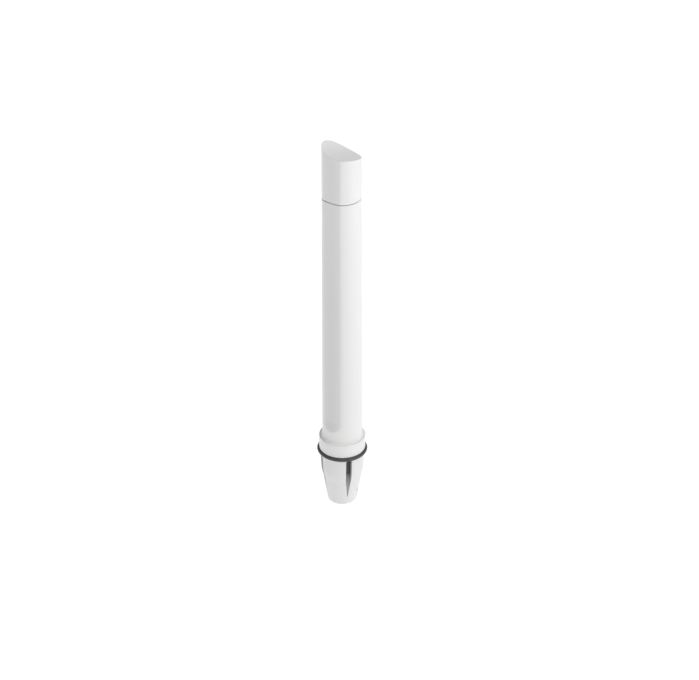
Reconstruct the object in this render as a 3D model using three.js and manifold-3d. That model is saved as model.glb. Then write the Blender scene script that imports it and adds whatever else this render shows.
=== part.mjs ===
// Omnidirectional antenna: a slim faceted radome with a scooped cap, on a swivelling ferrule with
// a 1 inch pipe-rail thread. Millimetres, +Z up along the pole. The origin is the centre of the
// ferrule's lower end face, and the radome's facet faces -Y. An azimuth is measured from
// -Y towards +X, so the facet is at azimuth 0 and +X is at azimuth 90 degrees.
import * as THREE from 'three';
import { mergeVertices } from 'three/addons/utils/BufferGeometryUtils.js';
import Module from 'manifold-3d';

const wasm = await Module();
wasm.setup();

// ---- driving dimensions -------------------------------------------------------------------

const GAP = 0.3;                    // clearance between pieces that touch
const ROUND = 48;                   // sides of the large round pieces

// Radome: a drafted tube with one crowned facet, flared into a collar at its foot.
const POLE_BASE_RADIUS = 24.5;
const POLE_TOP_RADIUS = 22.95;
const RADOME_WALL = 2.4;
const COLLAR_RADIUS = 28.6;
const COLLAR_BOTTOM = 77;
const COLLAR_TOP = 95;
const SHOULDER_TOP = 100;
const COLLAR_BORE = 21.3;
const COLLAR_EDGE = 1;
const RADOME_TOP = 420.8;

// Facet: half the angle between its two creases, its crown, and its curved run-out. The crown is
// round an axis behind the pole's.
const FACET_HALF_ANGLE = 31;
const CROWN_OFFSET = 39.2;
const FACET_FOOT = 125;
const RUNOUT_RADIUS = 24;

// Cap: a hollow moulding with a plug skirt, whose top is cut by one large tilted cylinder.
const SEAM = 1.2;
const CAP_BLANK_TOP = 495;
const CAP_ROOF = 464;
const SKIRT_BOTTOM = 405;
const SKIRT_WALL = 2;
const SCOOP_RADIUS = 52.1;
const SCOOP_AXIS_X = 11.5;
const SCOOP_LOW = 473.5;
const SCOOP_TILT = Math.atan(0.1934);

// Ferrule: the tapered white shell under the radome, with four pointed slots.
const FERRULE_END_RADIUS = 17.9;
const FERRULE_WAIST = 36;
const FERRULE_WAIST_RADIUS = 23.6;
const FERRULE_TAPER_TOP = 47;
const FERRULE_BAND_RADIUS = 26.2;
const FERRULE_RIM_RADIUS = 27.1;
const FERRULE_HEIGHT = 72.2;
const RIM_LIP = 1.2;
const RIM_LIP_HEIGHT = 2.4;
const SOCKET_RADIUS = 21.6;
const BUSH_SEAT = 15.4;
const SLOT_COUNT = 4;
const SLOT_AZIMUTH = 53.5;
const SLOT_OUTLINE = [[3.8, 45], [3, 35], [2, 28], [1.15, 21], [0.6, 16]];
const SLOT_TIP = 10;

// Core: the grey cup inside the ferrule, which holds the bush and the swivelling neck.
const CORE_BOTTOM = 8.3;
const CORE_BOTTOM_RADIUS = 17.2;
const CORE_RADIUS = 21.3;
const CORE_CUP = 18.4;
const CORE_TOP = 48;
const WEB_BOTTOM = 33.6;
const WEB_TOP = 37;
const NECK_BORE = 13.1;

// Threaded bush: 1 inch, 14 threads to the inch, female.
const BUSH_TOP = 27;
const THREAD_MINOR = 11.8;
const THREAD_MAJOR = 12.65;
const THREAD_PITCH = 25.4 / 14;
const THREAD_TURNS = 9;

// Lock screw: an M3 grub screw, radial, in line with the bush.
const LOCK_AZIMUTH = 100.8;
const LOCK_HEIGHT = 15.8;
const LOCK_RADIUS = 1.4;
const LOCK_HOLE_RADIUS = 1.9;
const LOCK_LENGTH = 5;
const LOCK_TIP = 13.6;
const LOCK_SOCKET_RADIUS = 0.87;
const LOCK_SOCKET_DEPTH = 1.6;

// Gasket between collar and ferrule: a flat web with a round outer bead.
const GASKET_HEIGHT = 74.6;
const GASKET_WEB = 4.2;
const GASKET_INNER_RADIUS = 22;
const BEAD_CENTRE_RADIUS = 28.8;
const BEAD_RADIUS = 2.35;

// Base plug: closes the radome and carries the socket below it.
const PLUG_RADIUS = 20.95;
const SPIGOT_RADIUS = 21.2;
const SPIGOT_BOTTOM = 48.4;
const STEP_RADIUS = 18.1;
const STEP_BOTTOM = 37.4;
const PLUG_TOP = 106;
const PLUG_CAVITY = 18;
const NECK_RADIUS = 12.8;
const NECK_BOTTOM = 29;
const SEAL_HEIGHTS = [84, 92];
const SEAL_TUBE = 1.15;
const CLIP_HEIGHT = 30.1;
const CLIP_THICKNESS = 1.4;

// Bulkhead coaxial socket, facing down on the axis.
const SOCKET_MOUTH = 13;
const BARREL_RADIUS = 7.9;
const SHANK_RADIUS = 6.2;
const PANEL_BOTTOM = 33.5;
const PANEL_TOP = 37;

// Radiator board and what carries it.
const BOARD_WIDTH = 30;
const BOARD_THICKNESS = 1.6;
const BOARD_BOTTOM = 111.3;
const BOARD_TOP = 398;
const COPPER = 0.4;
const ARM_WIDTH = 14;
const ARM_LENGTH = 60;
const BOARD_SCREW_X = 10;
const BOARD_SCREW_Z = 115;
const SCREW_HOLE = 1.7;
const COAX_RADIUS = 1.7;
const COAX_OFFSET = 2.9;
const FOAM_HEIGHTS = { low: 205, middle: 300, high: 380 };

// ---- materials ----------------------------------------------------------------------------

const finish = (color, roughness, metalness = 0) =>
  new THREE.MeshStandardMaterial({ color, roughness, metalness });
const WHITE_SHELL = finish(0xeeeeec, 0.45);
const WHITE_FERRULE = finish(0xe9e9e7, 0.5);
const BLACK_NYLON = finish(0x1c1c1e, 0.55);
const GREY_NYLON = finish(0x6a6b6d, 0.6);
const BLACK_RUBBER = finish(0x18181a, 0.8);
const GREY_RUBBER = finish(0x6d6f72, 0.85);
const STAINLESS = finish(0xb8bbbf, 0.3, 1);
const BLACK_STEEL = finish(0x2a2b2d, 0.45, 1);
const NICKEL = finish(0xc9c6be, 0.25, 1);
const GILT = finish(0xd9b45a, 0.25, 1);
const COPPER_FOIL = finish(0xc77a4a, 0.35, 1);
const LAMINATE = finish(0x2f6b3f, 0.5);
const FLUOROPOLYMER = finish(0xf4f2ea, 0.6);
const FERRITE = finish(0x3a3a3d, 0.7);
const COAX_JACKET = finish(0x2a211c, 0.5);
const FOAM = finish(0xdedbd2, 0.95);

// ---- helpers ------------------------------------------------------------------------------

const radians = (degrees) => THREE.MathUtils.degToRad(degrees);

// The pole's outer radius at a height: a straight draft from shoulder to cap.
function poleRadius(z) {
  const share = (z - SHOULDER_TOP) / (RADOME_TOP - SHOULDER_TOP);
  return THREE.MathUtils.lerp(POLE_BASE_RADIUS, POLE_TOP_RADIUS, share);
}

// A body of revolution about Z from [radius, z] pairs, anticlockwise, on the axis or closed.
function turned(pairs, segments = 48) {
  const points = pairs.map(([radius, z]) => new THREE.Vector2(radius, z));
  return new THREE.LatheGeometry(points, segments).rotateX(Math.PI / 2);
}

// A full cylinder from one height to another.
function rod(radius, bottom, top, segments = 24) {
  return turned([[0, bottom], [radius, bottom], [radius, top], [0, top]], segments);
}

// A washer-like ring of rectangular section.
function ring(inner, outer, bottom, top, segments = 24) {
  const section = [[inner, bottom], [outer, bottom], [outer, top], [inner, top], [inner, bottom]];
  return turned(section, segments);
}

// A ring of round section.
function torus(centreRadius, tubeRadius, z, segments = 32, sides = 6) {
  const geometry = new THREE.TorusGeometry(centreRadius, tubeRadius, sides, segments);
  return geometry.translate(0, 0, z);
}

// A flat outline in X and Y, raised from one height to another.
function raised(shape, bottom, top, curveSegments = 16) {
  const options = { depth: top - bottom, bevelEnabled: false, curveSegments };
  return new THREE.ExtrudeGeometry(shape, options).translate(0, 0, bottom);
}

// A circle cut by a flat at the facet's side.
function flattedCircle(radius, flat) {
  const half = Math.acos(flat / radius);
  const shape = new THREE.Shape();
  shape.absarc(0, 0, radius, -Math.PI / 2 + half, 1.5 * Math.PI - half, false);
  shape.closePath();
  return shape;
}

// A regular polygon outline by its corner radius.
function polygon(sides, radius) {
  const corner = (i) => {
    const angle = (2 * Math.PI * i) / sides;
    return new THREE.Vector2(radius * Math.cos(angle), radius * Math.sin(angle));
  };
  return new THREE.Shape(Array.from({ length: sides }, (_, i) => corner(i)));
}

// Cuts a round hole in an outline.
function withHole(shape, radius, x = 0, y = 0) {
  shape.holes.push(new THREE.Path().absarc(x, y, radius, 0, 2 * Math.PI, true));
  return shape;
}

// Turns something drawn along +X so that it points to an azimuth.
function toAzimuth(geometry, azimuth) {
  return geometry.rotateZ(radians(azimuth - 90));
}

function solid(geometry) {
  const bare = geometry.index ? geometry.toNonIndexed() : geometry.clone();
  bare.deleteAttribute('normal');
  bare.deleteAttribute('uv');
  const merged = mergeVertices(bare, 1e-4);
  return new wasm.Manifold(new wasm.Mesh({
    numProp: 3,
    vertProperties: new Float32Array(merged.attributes.position.array),
    triVerts: new Uint32Array(merged.index.array),
  }));
}

function surface(body) {
  const mesh = body.getMesh();
  const geometry = new THREE.BufferGeometry();
  geometry.setAttribute('position', new THREE.BufferAttribute(mesh.vertProperties, 3));
  geometry.setIndex(new THREE.BufferAttribute(mesh.triVerts, 1));
  geometry.computeVertexNormals();
  return geometry;
}

// Cuts any number of geometries out of the first.
function cut(blank, ...tools) {
  return surface(tools.reduce((body, tool) => body.subtract(solid(tool)), solid(blank)));
}

function piece(name, geometry, material) {
  const mesh = new THREE.Mesh(geometry, material);
  mesh.name = name;
  return mesh;
}

function assembly(...children) {
  const group = new THREE.Group();
  group.add(...children);
  return group;
}

// ---- radome and cap -----------------------------------------------------------------------

// The crowned facet's distance from the crown's axis, where it meets the pole at both creases.
function crownRadius(poleRadiusThere) {
  const angle = radians(FACET_HALF_ANGLE);
  const across = poleRadiusThere * Math.sin(angle);
  const ahead = poleRadiusThere * Math.cos(angle) + CROWN_OFFSET;
  return Math.hypot(across, ahead);
}

// Everything within the facet, moved towards the axis by an inset: a body turned about the crown's
// axis, with the curved run-out at the facet's foot.
function withinFacet(inset) {
  const top = CAP_BLANK_TOP + 10;
  const far = CROWN_OFFSET + 2 * POLE_BASE_RADIUS;
  const foot = crownRadius(poleRadius(FACET_FOOT)) - inset;
  const steps = 8;
  const runout = Array.from({ length: steps }, (_, i) => {
    const angle = radians((50 * (steps - i)) / steps);
    const reach = foot + RUNOUT_RADIUS * (1 - Math.cos(angle));
    return [reach, FACET_FOOT - RUNOUT_RADIUS * Math.sin(angle)];
  });
  const body = turned([
    [0, COLLAR_BOTTOM - 5],
    [far, COLLAR_BOTTOM - 5],
    [far, FACET_FOOT - RUNOUT_RADIUS],
    ...runout,
    [foot, FACET_FOOT],
    [crownRadius(poleRadius(top)) - inset, top],
    [0, top],
  ], 120);
  return solid(body.translate(0, CROWN_OFFSET, 0));
}

// The concave flare between pole and collar, from the pole down to the collar's edge.
function shoulderArc(steps = 5) {
  const rise = SHOULDER_TOP - COLLAR_TOP;
  const run = COLLAR_RADIUS - COLLAR_EDGE - POLE_BASE_RADIUS;
  return Array.from({ length: steps + 1 }, (_, i) => {
    const angle = (Math.PI / 2) * (1 - i / steps);
    return [POLE_BASE_RADIUS + run * (1 - Math.cos(angle)), SHOULDER_TOP - rise * Math.sin(angle)];
  });
}

function radomeTube() {
  const outside = turned([
    [0, COLLAR_BOTTOM],
    [COLLAR_RADIUS - COLLAR_EDGE, COLLAR_BOTTOM],
    [COLLAR_RADIUS, COLLAR_BOTTOM + COLLAR_EDGE],
    [COLLAR_RADIUS, COLLAR_TOP - COLLAR_EDGE],
    ...shoulderArc(),
    [POLE_TOP_RADIUS, RADOME_TOP],
    [0, RADOME_TOP],
  ], ROUND);
  const boreTop = RADOME_TOP + 1;
  const inside = turned([
    [0, COLLAR_BOTTOM - 1],
    [COLLAR_BORE, COLLAR_BOTTOM - 1],
    [COLLAR_BORE, SHOULDER_TOP],
    [poleRadius(boreTop) - RADOME_WALL, boreTop],
    [0, boreTop],
  ], ROUND);
  const hollow = solid(inside).intersect(withinFacet(RADOME_WALL));
  return surface(solid(outside).intersect(withinFacet(0)).subtract(hollow));
}

// The cylinder that scoops the cap's top: it lies along Y and rises towards the facet.
function scoopCylinder() {
  const cylinder = new THREE.CylinderGeometry(SCOOP_RADIUS, SCOOP_RADIUS, 160, 128);
  cylinder.translate(0, 0, SCOOP_RADIUS);
  cylinder.rotateX(-SCOOP_TILT);
  return cylinder.translate(SCOOP_AXIS_X, 0, SCOOP_LOW);
}

function topCap() {
  const seamTop = RADOME_TOP + SEAM;
  const skirtRadius = POLE_TOP_RADIUS - RADOME_WALL - GAP;
  const shell = solid(rod(POLE_TOP_RADIUS, seamTop, CAP_BLANK_TOP, ROUND))
    .intersect(withinFacet(0))
    .subtract(solid(scoopCylinder()));
  const skirt = solid(rod(skirtRadius, SKIRT_BOTTOM, seamTop + 1, ROUND))
    .intersect(withinFacet(RADOME_WALL + GAP));
  const hollow = solid(rod(skirtRadius - SKIRT_WALL, SKIRT_BOTTOM - 1, CAP_ROOF, ROUND))
    .intersect(withinFacet(RADOME_WALL + GAP + SKIRT_WALL));
  return surface(shell.add(skirt).subtract(hollow));
}

// The thin gasket in the seam under the cap, set back from the outside so the seam reads.
function capGasket() {
  const recess = 0.6;
  const blank = solid(rod(POLE_TOP_RADIUS - recess, RADOME_TOP + 0.2, RADOME_TOP + SEAM - 0.2, ROUND))
    .intersect(withinFacet(recess));
  const opening = solid(rod(POLE_TOP_RADIUS - RADOME_WALL, RADOME_TOP - 1, RADOME_TOP + 3, ROUND))
    .intersect(withinFacet(RADOME_WALL));
  return surface(blank.subtract(opening));
}

// ---- ferrule ------------------------------------------------------------------------------

// A slot through the ferrule's wall: parallel above, closing to a point below, cut radially.
function slotTool(azimuth) {
  const shape = new THREE.Shape();
  const [widest] = SLOT_OUTLINE[0];
  shape.moveTo(-widest, FERRULE_HEIGHT + 5);
  SLOT_OUTLINE.forEach(([half, z]) => shape.lineTo(-half, z));
  shape.lineTo(0, SLOT_TIP);
  SLOT_OUTLINE.toReversed().forEach(([half, z]) => shape.lineTo(half, z));
  shape.lineTo(widest, FERRULE_HEIGHT + 5);
  shape.closePath();
  const outward = new THREE.Matrix4().makeBasis(
    new THREE.Vector3(0, 1, 0), new THREE.Vector3(0, 0, 1), new THREE.Vector3(1, 0, 0));
  const tool = raised(shape, FERRULE_END_RADIUS - 2, FERRULE_RIM_RADIUS + 10);
  return toAzimuth(tool.applyMatrix4(outward), azimuth);
}

// The radial hole of the lock screw.
function lockHole(radius) {
  const hole = new THREE.CylinderGeometry(radius, radius, 30, 16);
  hole.rotateZ(Math.PI / 2).translate(BUSH_SEAT, 0, 0);
  return toAzimuth(hole, LOCK_AZIMUTH).translate(0, 0, LOCK_HEIGHT);
}

function ferrule() {
  const shelf = CORE_BOTTOM - GAP;
  const body = turned([
    [BUSH_SEAT, 0],
    [FERRULE_END_RADIUS - 0.6, 0],
    [FERRULE_END_RADIUS, 0.6],
    [FERRULE_WAIST_RADIUS, FERRULE_WAIST],
    [FERRULE_BAND_RADIUS, FERRULE_TAPER_TOP],
    [FERRULE_RIM_RADIUS, FERRULE_HEIGHT - RIM_LIP_HEIGHT],
    [FERRULE_RIM_RADIUS + RIM_LIP, FERRULE_HEIGHT - RIM_LIP_HEIGHT],
    [FERRULE_RIM_RADIUS + RIM_LIP, FERRULE_HEIGHT - 0.5],
    [FERRULE_RIM_RADIUS + RIM_LIP - 0.5, FERRULE_HEIGHT],
    [SOCKET_RADIUS, FERRULE_HEIGHT],
    [SOCKET_RADIUS, WEB_TOP],
    [CORE_BOTTOM_RADIUS + GAP, shelf],
    [BUSH_SEAT, shelf],
    [BUSH_SEAT, 0],
  ], ROUND);
  const slots = Array.from({ length: SLOT_COUNT },
    (_, i) => slotTool(SLOT_AZIMUTH + (360 / SLOT_COUNT) * i));
  return cut(body, ...slots, lockHole(LOCK_HOLE_RADIUS));
}

function ferruleCore() {
  const body = turned([
    [BUSH_SEAT, CORE_BOTTOM],
    [CORE_BOTTOM_RADIUS, CORE_BOTTOM],
    [CORE_RADIUS, WEB_TOP],
    [CORE_RADIUS, CORE_TOP],
    [CORE_CUP, CORE_TOP],
    [CORE_CUP, WEB_TOP],
    [NECK_BORE, WEB_TOP],
    [NECK_BORE, WEB_BOTTOM],
    [BUSH_SEAT, WEB_BOTTOM],
    [BUSH_SEAT, CORE_BOTTOM],
  ], ROUND);
  return cut(body, lockHole(LOCK_HOLE_RADIUS));
}

// The bush's bore carries one vee for each turn of its thread.
function threadBush() {
  const outer = BUSH_SEAT - GAP;
  const start = (BUSH_TOP - THREAD_TURNS * THREAD_PITCH) / 2;
  const vees = [];
  for (let turn = THREAD_TURNS - 1; turn >= 0; turn -= 1) {
    const foot = start + turn * THREAD_PITCH;
    vees.push([THREAD_MAJOR, foot + THREAD_PITCH / 2], [THREAD_MINOR, foot]);
  }
  const section = [
    [THREAD_MAJOR, 0],
    [outer, 0],
    [outer, BUSH_TOP],
    [THREAD_MAJOR, BUSH_TOP],
    [THREAD_MINOR, start + THREAD_TURNS * THREAD_PITCH],
    ...vees,
    [THREAD_MAJOR, 0],
  ];
  return cut(turned(section, 24), lockHole(LOCK_HOLE_RADIUS));
}

function lockScrew() {
  const body = new THREE.CylinderGeometry(LOCK_RADIUS, LOCK_RADIUS, LOCK_LENGTH, 20);
  const socket = new THREE.CylinderGeometry(LOCK_SOCKET_RADIUS, LOCK_SOCKET_RADIUS, 2 * LOCK_SOCKET_DEPTH, 6);
  socket.translate(0, LOCK_LENGTH / 2, 0);
  return cut(body, socket).rotateZ(-Math.PI / 2);
}

function gasketRing() {
  const half = GASKET_WEB / 2;
  const edge = Math.asin(half / BEAD_RADIUS);
  const steps = 6;
  const bead = Array.from({ length: steps + 1 }, (_, i) => {
    const angle = THREE.MathUtils.lerp(edge - Math.PI, Math.PI - edge, i / steps);
    return [BEAD_CENTRE_RADIUS + BEAD_RADIUS * Math.cos(angle), BEAD_RADIUS * Math.sin(angle)];
  });
  const section = [[GASKET_INNER_RADIUS, -half], ...bead, [GASKET_INNER_RADIUS, half],
    [GASKET_INNER_RADIUS, -half]];
  return turned(section, ROUND);
}

// ---- base plug ----------------------------------------------------------------------------

function basePlug() {
  const grooveDepth = 2.4;
  const grooveHalf = SEAL_TUBE + 0.15;
  const grooves = SEAL_HEIGHTS.flatMap((z) => [
    [PLUG_RADIUS, z - grooveHalf],
    [PLUG_RADIUS - grooveDepth, z - grooveHalf],
    [PLUG_RADIUS - grooveDepth, z + grooveHalf],
    [PLUG_RADIUS, z + grooveHalf],
  ]);
  const nutPocket = 9.8;
  const flangePocket = 10.2;
  const clipGroove = 11.6;
  return turned([
    [flangePocket, NECK_BOTTOM],
    [NECK_RADIUS, NECK_BOTTOM],
    [NECK_RADIUS, CLIP_HEIGHT - 0.15],
    [clipGroove, CLIP_HEIGHT - 0.15],
    [clipGroove, CLIP_HEIGHT + CLIP_THICKNESS + 0.15],
    [NECK_RADIUS, CLIP_HEIGHT + CLIP_THICKNESS + 0.15],
    [NECK_RADIUS, STEP_BOTTOM],
    [STEP_RADIUS, STEP_BOTTOM],
    [STEP_RADIUS, SPIGOT_BOTTOM],
    [SPIGOT_RADIUS, SPIGOT_BOTTOM],
    [SPIGOT_RADIUS, COLLAR_BOTTOM - GAP],
    [PLUG_RADIUS, COLLAR_BOTTOM - GAP],
    ...grooves,
    [PLUG_RADIUS, PLUG_TOP - 1],
    [PLUG_RADIUS - 1, PLUG_TOP],
    [PLUG_CAVITY, PLUG_TOP],
    [PLUG_CAVITY, PANEL_TOP + 7],
    [nutPocket, PANEL_TOP + 7],
    [nutPocket, PANEL_TOP],
    [SHANK_RADIUS + GAP, PANEL_TOP],
    [SHANK_RADIUS + GAP, PANEL_BOTTOM],
    [flangePocket, PANEL_BOTTOM],
    [flangePocket, NECK_BOTTOM],
  ], 32);
}

// The retaining clip: an open spring ring in the neck's groove.
function retainingClip() {
  const inner = 11.8;
  const outer = 14.7;
  const halfMouth = radians(18);
  const shape = new THREE.Shape();
  shape.absarc(0, 0, outer, halfMouth, 2 * Math.PI - halfMouth, false);
  shape.absarc(0, 0, inner, 2 * Math.PI - halfMouth, halfMouth, true);
  shape.closePath();
  return raised(shape, 0, CLIP_THICKNESS);
}

// ---- coaxial socket -----------------------------------------------------------------------

function socketBody() {
  const bore = 4.3;
  const rearBore = 4.4;
  const pitch = 2;
  const depth = 0.6;
  const threads = Array.from({ length: 6 }, (_, i) => SOCKET_MOUTH + 1.4 + i * pitch)
    .flatMap((z) => [[BARREL_RADIUS - depth, z], [BARREL_RADIUS, z + pitch / 2]]);
  return turned([
    [bore, SOCKET_MOUTH],
    [BARREL_RADIUS - depth, SOCKET_MOUTH],
    ...threads,
    [BARREL_RADIUS, 29.9],
    [9.4, 29.9],
    [9.4, 32.2],
    [SHANK_RADIUS, 32.2],
    [SHANK_RADIUS, 43],
    [rearBore, 43],
    [rearBore, 24],
    [bore, 24],
    [bore, SOCKET_MOUTH],
  ], 24);
}

function coaxSocket() {
  const nut = raised(withHole(polygon(6, 9.2), SHANK_RADIUS + GAP), 0, 3.4, 12);
  return assembly(
    piece('socket_body', socketBody(), NICKEL),
    piece('socket_gasket', ring(SHANK_RADIUS + GAP, 9.2, 32.5, 33.2), BLACK_RUBBER),
    piece('socket_lock_washer', ring(SHANK_RADIUS + GAP, 9, 37.3, 38.2), STAINLESS),
    piece('socket_nut', nut.translate(0, 0, 38.5), NICKEL),
    piece('socket_insulator', ring(1.8, 4.1, 24.3, 42.6, 20), FLUOROPOLYMER),
    piece('socket_contact', cut(rod(1.5, 15, 46.2, 16), rod(0.8, 14, 20, 12)), GILT),
  );
}

// ---- radiator -----------------------------------------------------------------------------

function alongY(radius, x, z, length = 30) {
  return new THREE.CylinderGeometry(radius, radius, length, 16).translate(x, 0, z);
}

function radiatorBoard() {
  const height = BOARD_TOP - BOARD_BOTTOM;
  const blank = new THREE.BoxGeometry(BOARD_WIDTH, BOARD_THICKNESS, height);
  blank.translate(0, 0, BOARD_BOTTOM + height / 2);
  return cut(blank, alongY(SCREW_HOLE, -BOARD_SCREW_X, BOARD_SCREW_Z),
    alongY(SCREW_HOLE, BOARD_SCREW_X, BOARD_SCREW_Z));
}

// A printed dipole arm: a hairpin of copper with rounded corners, standing on its closed end.
function dipoleArm() {
  const half = ARM_WIDTH / 2;
  const corner = 2;
  const slit = 2;
  const bridge = 6;
  const shape = new THREE.Shape();
  shape.moveTo(-half, corner);
  shape.absarc(-half + corner, corner, corner, Math.PI, 1.5 * Math.PI, false);
  shape.absarc(half - corner, corner, corner, -Math.PI / 2, 0, false);
  shape.lineTo(half, ARM_LENGTH);
  shape.lineTo(slit, ARM_LENGTH);
  shape.lineTo(slit, bridge);
  shape.lineTo(-slit, bridge);
  shape.lineTo(-slit, ARM_LENGTH);
  shape.lineTo(-half, ARM_LENGTH);
  shape.closePath();
  return raised(shape, 0, COPPER, 6).rotateX(Math.PI / 2);
}

// An arm on the board's facet side, standing up from a height or hanging down from it.
function placedArm(name, z, hangs) {
  const arm = piece(name, dipoleArm(), COPPER_FOIL);
  arm.position.set(0, -(BOARD_THICKNESS / 2 + GAP), z);
  if (hangs) {
    arm.rotation.y = Math.PI;
  }
  return arm;
}

function feedCoax() {
  const route = new THREE.CatmullRomCurve3([
    new THREE.Vector3(0, 0, 46.8),
    new THREE.Vector3(0, 0, 62),
    new THREE.Vector3(0, 0, 90),
    new THREE.Vector3(0, COAX_OFFSET, 103),
    new THREE.Vector3(0, COAX_OFFSET, 115),
    new THREE.Vector3(0, COAX_OFFSET, 127),
  ], false, 'centripetal');
  const section = new THREE.Shape().absarc(0, 0, COAX_RADIUS, 0, 2 * Math.PI, false);
  return new THREE.ExtrudeGeometry(section, { steps: 18, curveSegments: 4, extrudePath: route });
}

// The foot that holds the board: a disc on the plug with a slotted block on top.
function boardFoot() {
  const discTop = 109;
  const blockTop = 121;
  const block = new THREE.BoxGeometry(32, 10, blockTop - discTop + 1);
  block.translate(0, 0, (blockTop + discTop - 1) / 2);
  const slot = new THREE.BoxGeometry(BOARD_WIDTH + 2 * GAP, BOARD_THICKNESS + 2 * GAP, 20);
  slot.translate(0, 0, BOARD_BOTTOM - GAP + 10);
  const coaxHole = rod(COAX_RADIUS + 0.7, PLUG_TOP - 1, blockTop + 1, 16);
  coaxHole.translate(0, COAX_OFFSET, 0);
  const body = solid(rod(20.6, PLUG_TOP + GAP, discTop)).add(solid(block));
  return cut(surface(body), slot, coaxHole, alongY(SCREW_HOLE, -BOARD_SCREW_X, BOARD_SCREW_Z),
    alongY(SCREW_HOLE, BOARD_SCREW_X, BOARD_SCREW_Z));
}

// A pan-head screw along +Y with its head towards the facet.
function boardScrew() {
  const shaft = [[0, -1.5], [1.1, -1.5], [1.35, 0], [1.35, 9.5]];
  const head = [[2.8, 9.5], [2.8, 10.6], [2, 11.5], [0, 11.5]];
  const screw = turned([...shaft, ...head], 16);
  const recess = raised(polygon(6, 1.1), 10.3, 13);
  return cut(screw, recess).rotateX(Math.PI / 2);
}

function foamSpacer(height) {
  const slot = new THREE.Path();
  const halfWidth = BOARD_WIDTH / 2 + 2 * GAP;
  slot.moveTo(-halfWidth, -1.9);
  slot.lineTo(-halfWidth, 1.8);
  slot.lineTo(halfWidth, 1.8);
  slot.lineTo(halfWidth, -1.9);
  slot.closePath();
  const shape = flattedCircle(20.2, 17);
  shape.holes.push(slot);
  return raised(shape, -height / 2, height / 2);
}

function radiator() {
  const group = assembly(
    piece('radiator_board', radiatorBoard(), LAMINATE),
    placedArm('lower_dipole_bottom_arm', 188, true),
    placedArm('lower_dipole_top_arm', 192, false),
    placedArm('upper_dipole_bottom_arm', 328, true),
    placedArm('upper_dipole_top_arm', 332, false),
    piece('feed_coax', feedCoax(), COAX_JACKET),
    piece('ferrite_choke', ring(COAX_RADIUS + 0.4, 6.2, 62, 86), FERRITE),
    piece('board_foot', boardFoot(), BLACK_NYLON),
    piece('top_damper', raised(flattedCircle(17.4, 14.4), BOARD_TOP + 0.5, 418), FOAM),
  );

  const strip = piece('feed_strip', new THREE.BoxGeometry(2.6, COPPER, 202), COPPER_FOIL);
  strip.position.set(0, BOARD_THICKNESS / 2 + GAP + COPPER / 2, 230);
  group.add(strip);

  for (const [side, x] of [['left', -BOARD_SCREW_X], ['right', BOARD_SCREW_X]]) {
    const screw = piece(`board_screw_${side}`, boardScrew(), STAINLESS);
    screw.position.set(x, 4.2, BOARD_SCREW_Z);
    group.add(screw);
  }
  for (const [level, z] of Object.entries(FOAM_HEIGHTS)) {
    const spacer = piece(`foam_spacer_${level}`, foamSpacer(12), FOAM);
    spacer.position.z = z;
    group.add(spacer);
  }
  return group;
}

// ---- the whole antenna --------------------------------------------------------------------

function ferruleAssembly() {
  const screw = piece('lock_screw', lockScrew(), BLACK_STEEL);
  const reach = LOCK_TIP + LOCK_LENGTH / 2;
  const azimuth = radians(LOCK_AZIMUTH);
  screw.position.set(reach * Math.sin(azimuth), -reach * Math.cos(azimuth), LOCK_HEIGHT);
  screw.rotation.z = radians(LOCK_AZIMUTH - 90);
  return assembly(
    piece('mount_ferrule', ferrule(), WHITE_FERRULE),
    piece('ferrule_core', ferruleCore(), GREY_NYLON),
    piece('thread_bush', threadBush(), STAINLESS),
    screw,
  );
}

function baseAssembly() {
  const gasket = piece('gasket_ring', gasketRing(), BLACK_RUBBER);
  gasket.position.z = GASKET_HEIGHT;
  const clip = piece('retaining_clip', retainingClip(), STAINLESS);
  clip.position.z = CLIP_HEIGHT;
  const sealRadius = PLUG_RADIUS - 0.95;
  return assembly(
    gasket,
    piece('base_plug', basePlug(), BLACK_NYLON),
    piece('plug_seal_lower', torus(sealRadius, SEAL_TUBE, SEAL_HEIGHTS[0]), BLACK_RUBBER),
    piece('plug_seal_upper', torus(sealRadius, SEAL_TUBE, SEAL_HEIGHTS[1]), BLACK_RUBBER),
    piece('thrust_washer', ring(NECK_BORE, 15, 31.9, 33.3), FLUOROPOLYMER),
    clip,
  );
}

function radomeAssembly() {
  return assembly(
    piece('radome_tube', radomeTube(), WHITE_SHELL),
    piece('cap_gasket', capGasket(), GREY_RUBBER),
    piece('top_cap', topCap(), WHITE_SHELL),
  );
}

const antenna = assembly(
  ferruleAssembly(),
  baseAssembly(),
  coaxSocket(),
  radiator(),
  radomeAssembly(),
);
antenna.name = 'omnidirectional_antenna';

export default antenna;
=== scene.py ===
"""Looks of an omnidirectional antenna: white radome, scooped cap, black gasket and slotted ferrule.

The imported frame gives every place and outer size. Lengths here are in millimetres on the page and
become metres through MM. An azimuth is measured from -Y towards +X, as seen from above.
"""

import logging
import math
from collections.abc import Callable, Iterable, Sequence
from dataclasses import dataclass, field
from enum import Enum

import bmesh
import bpy
from mathutils import Matrix, Vector

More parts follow.
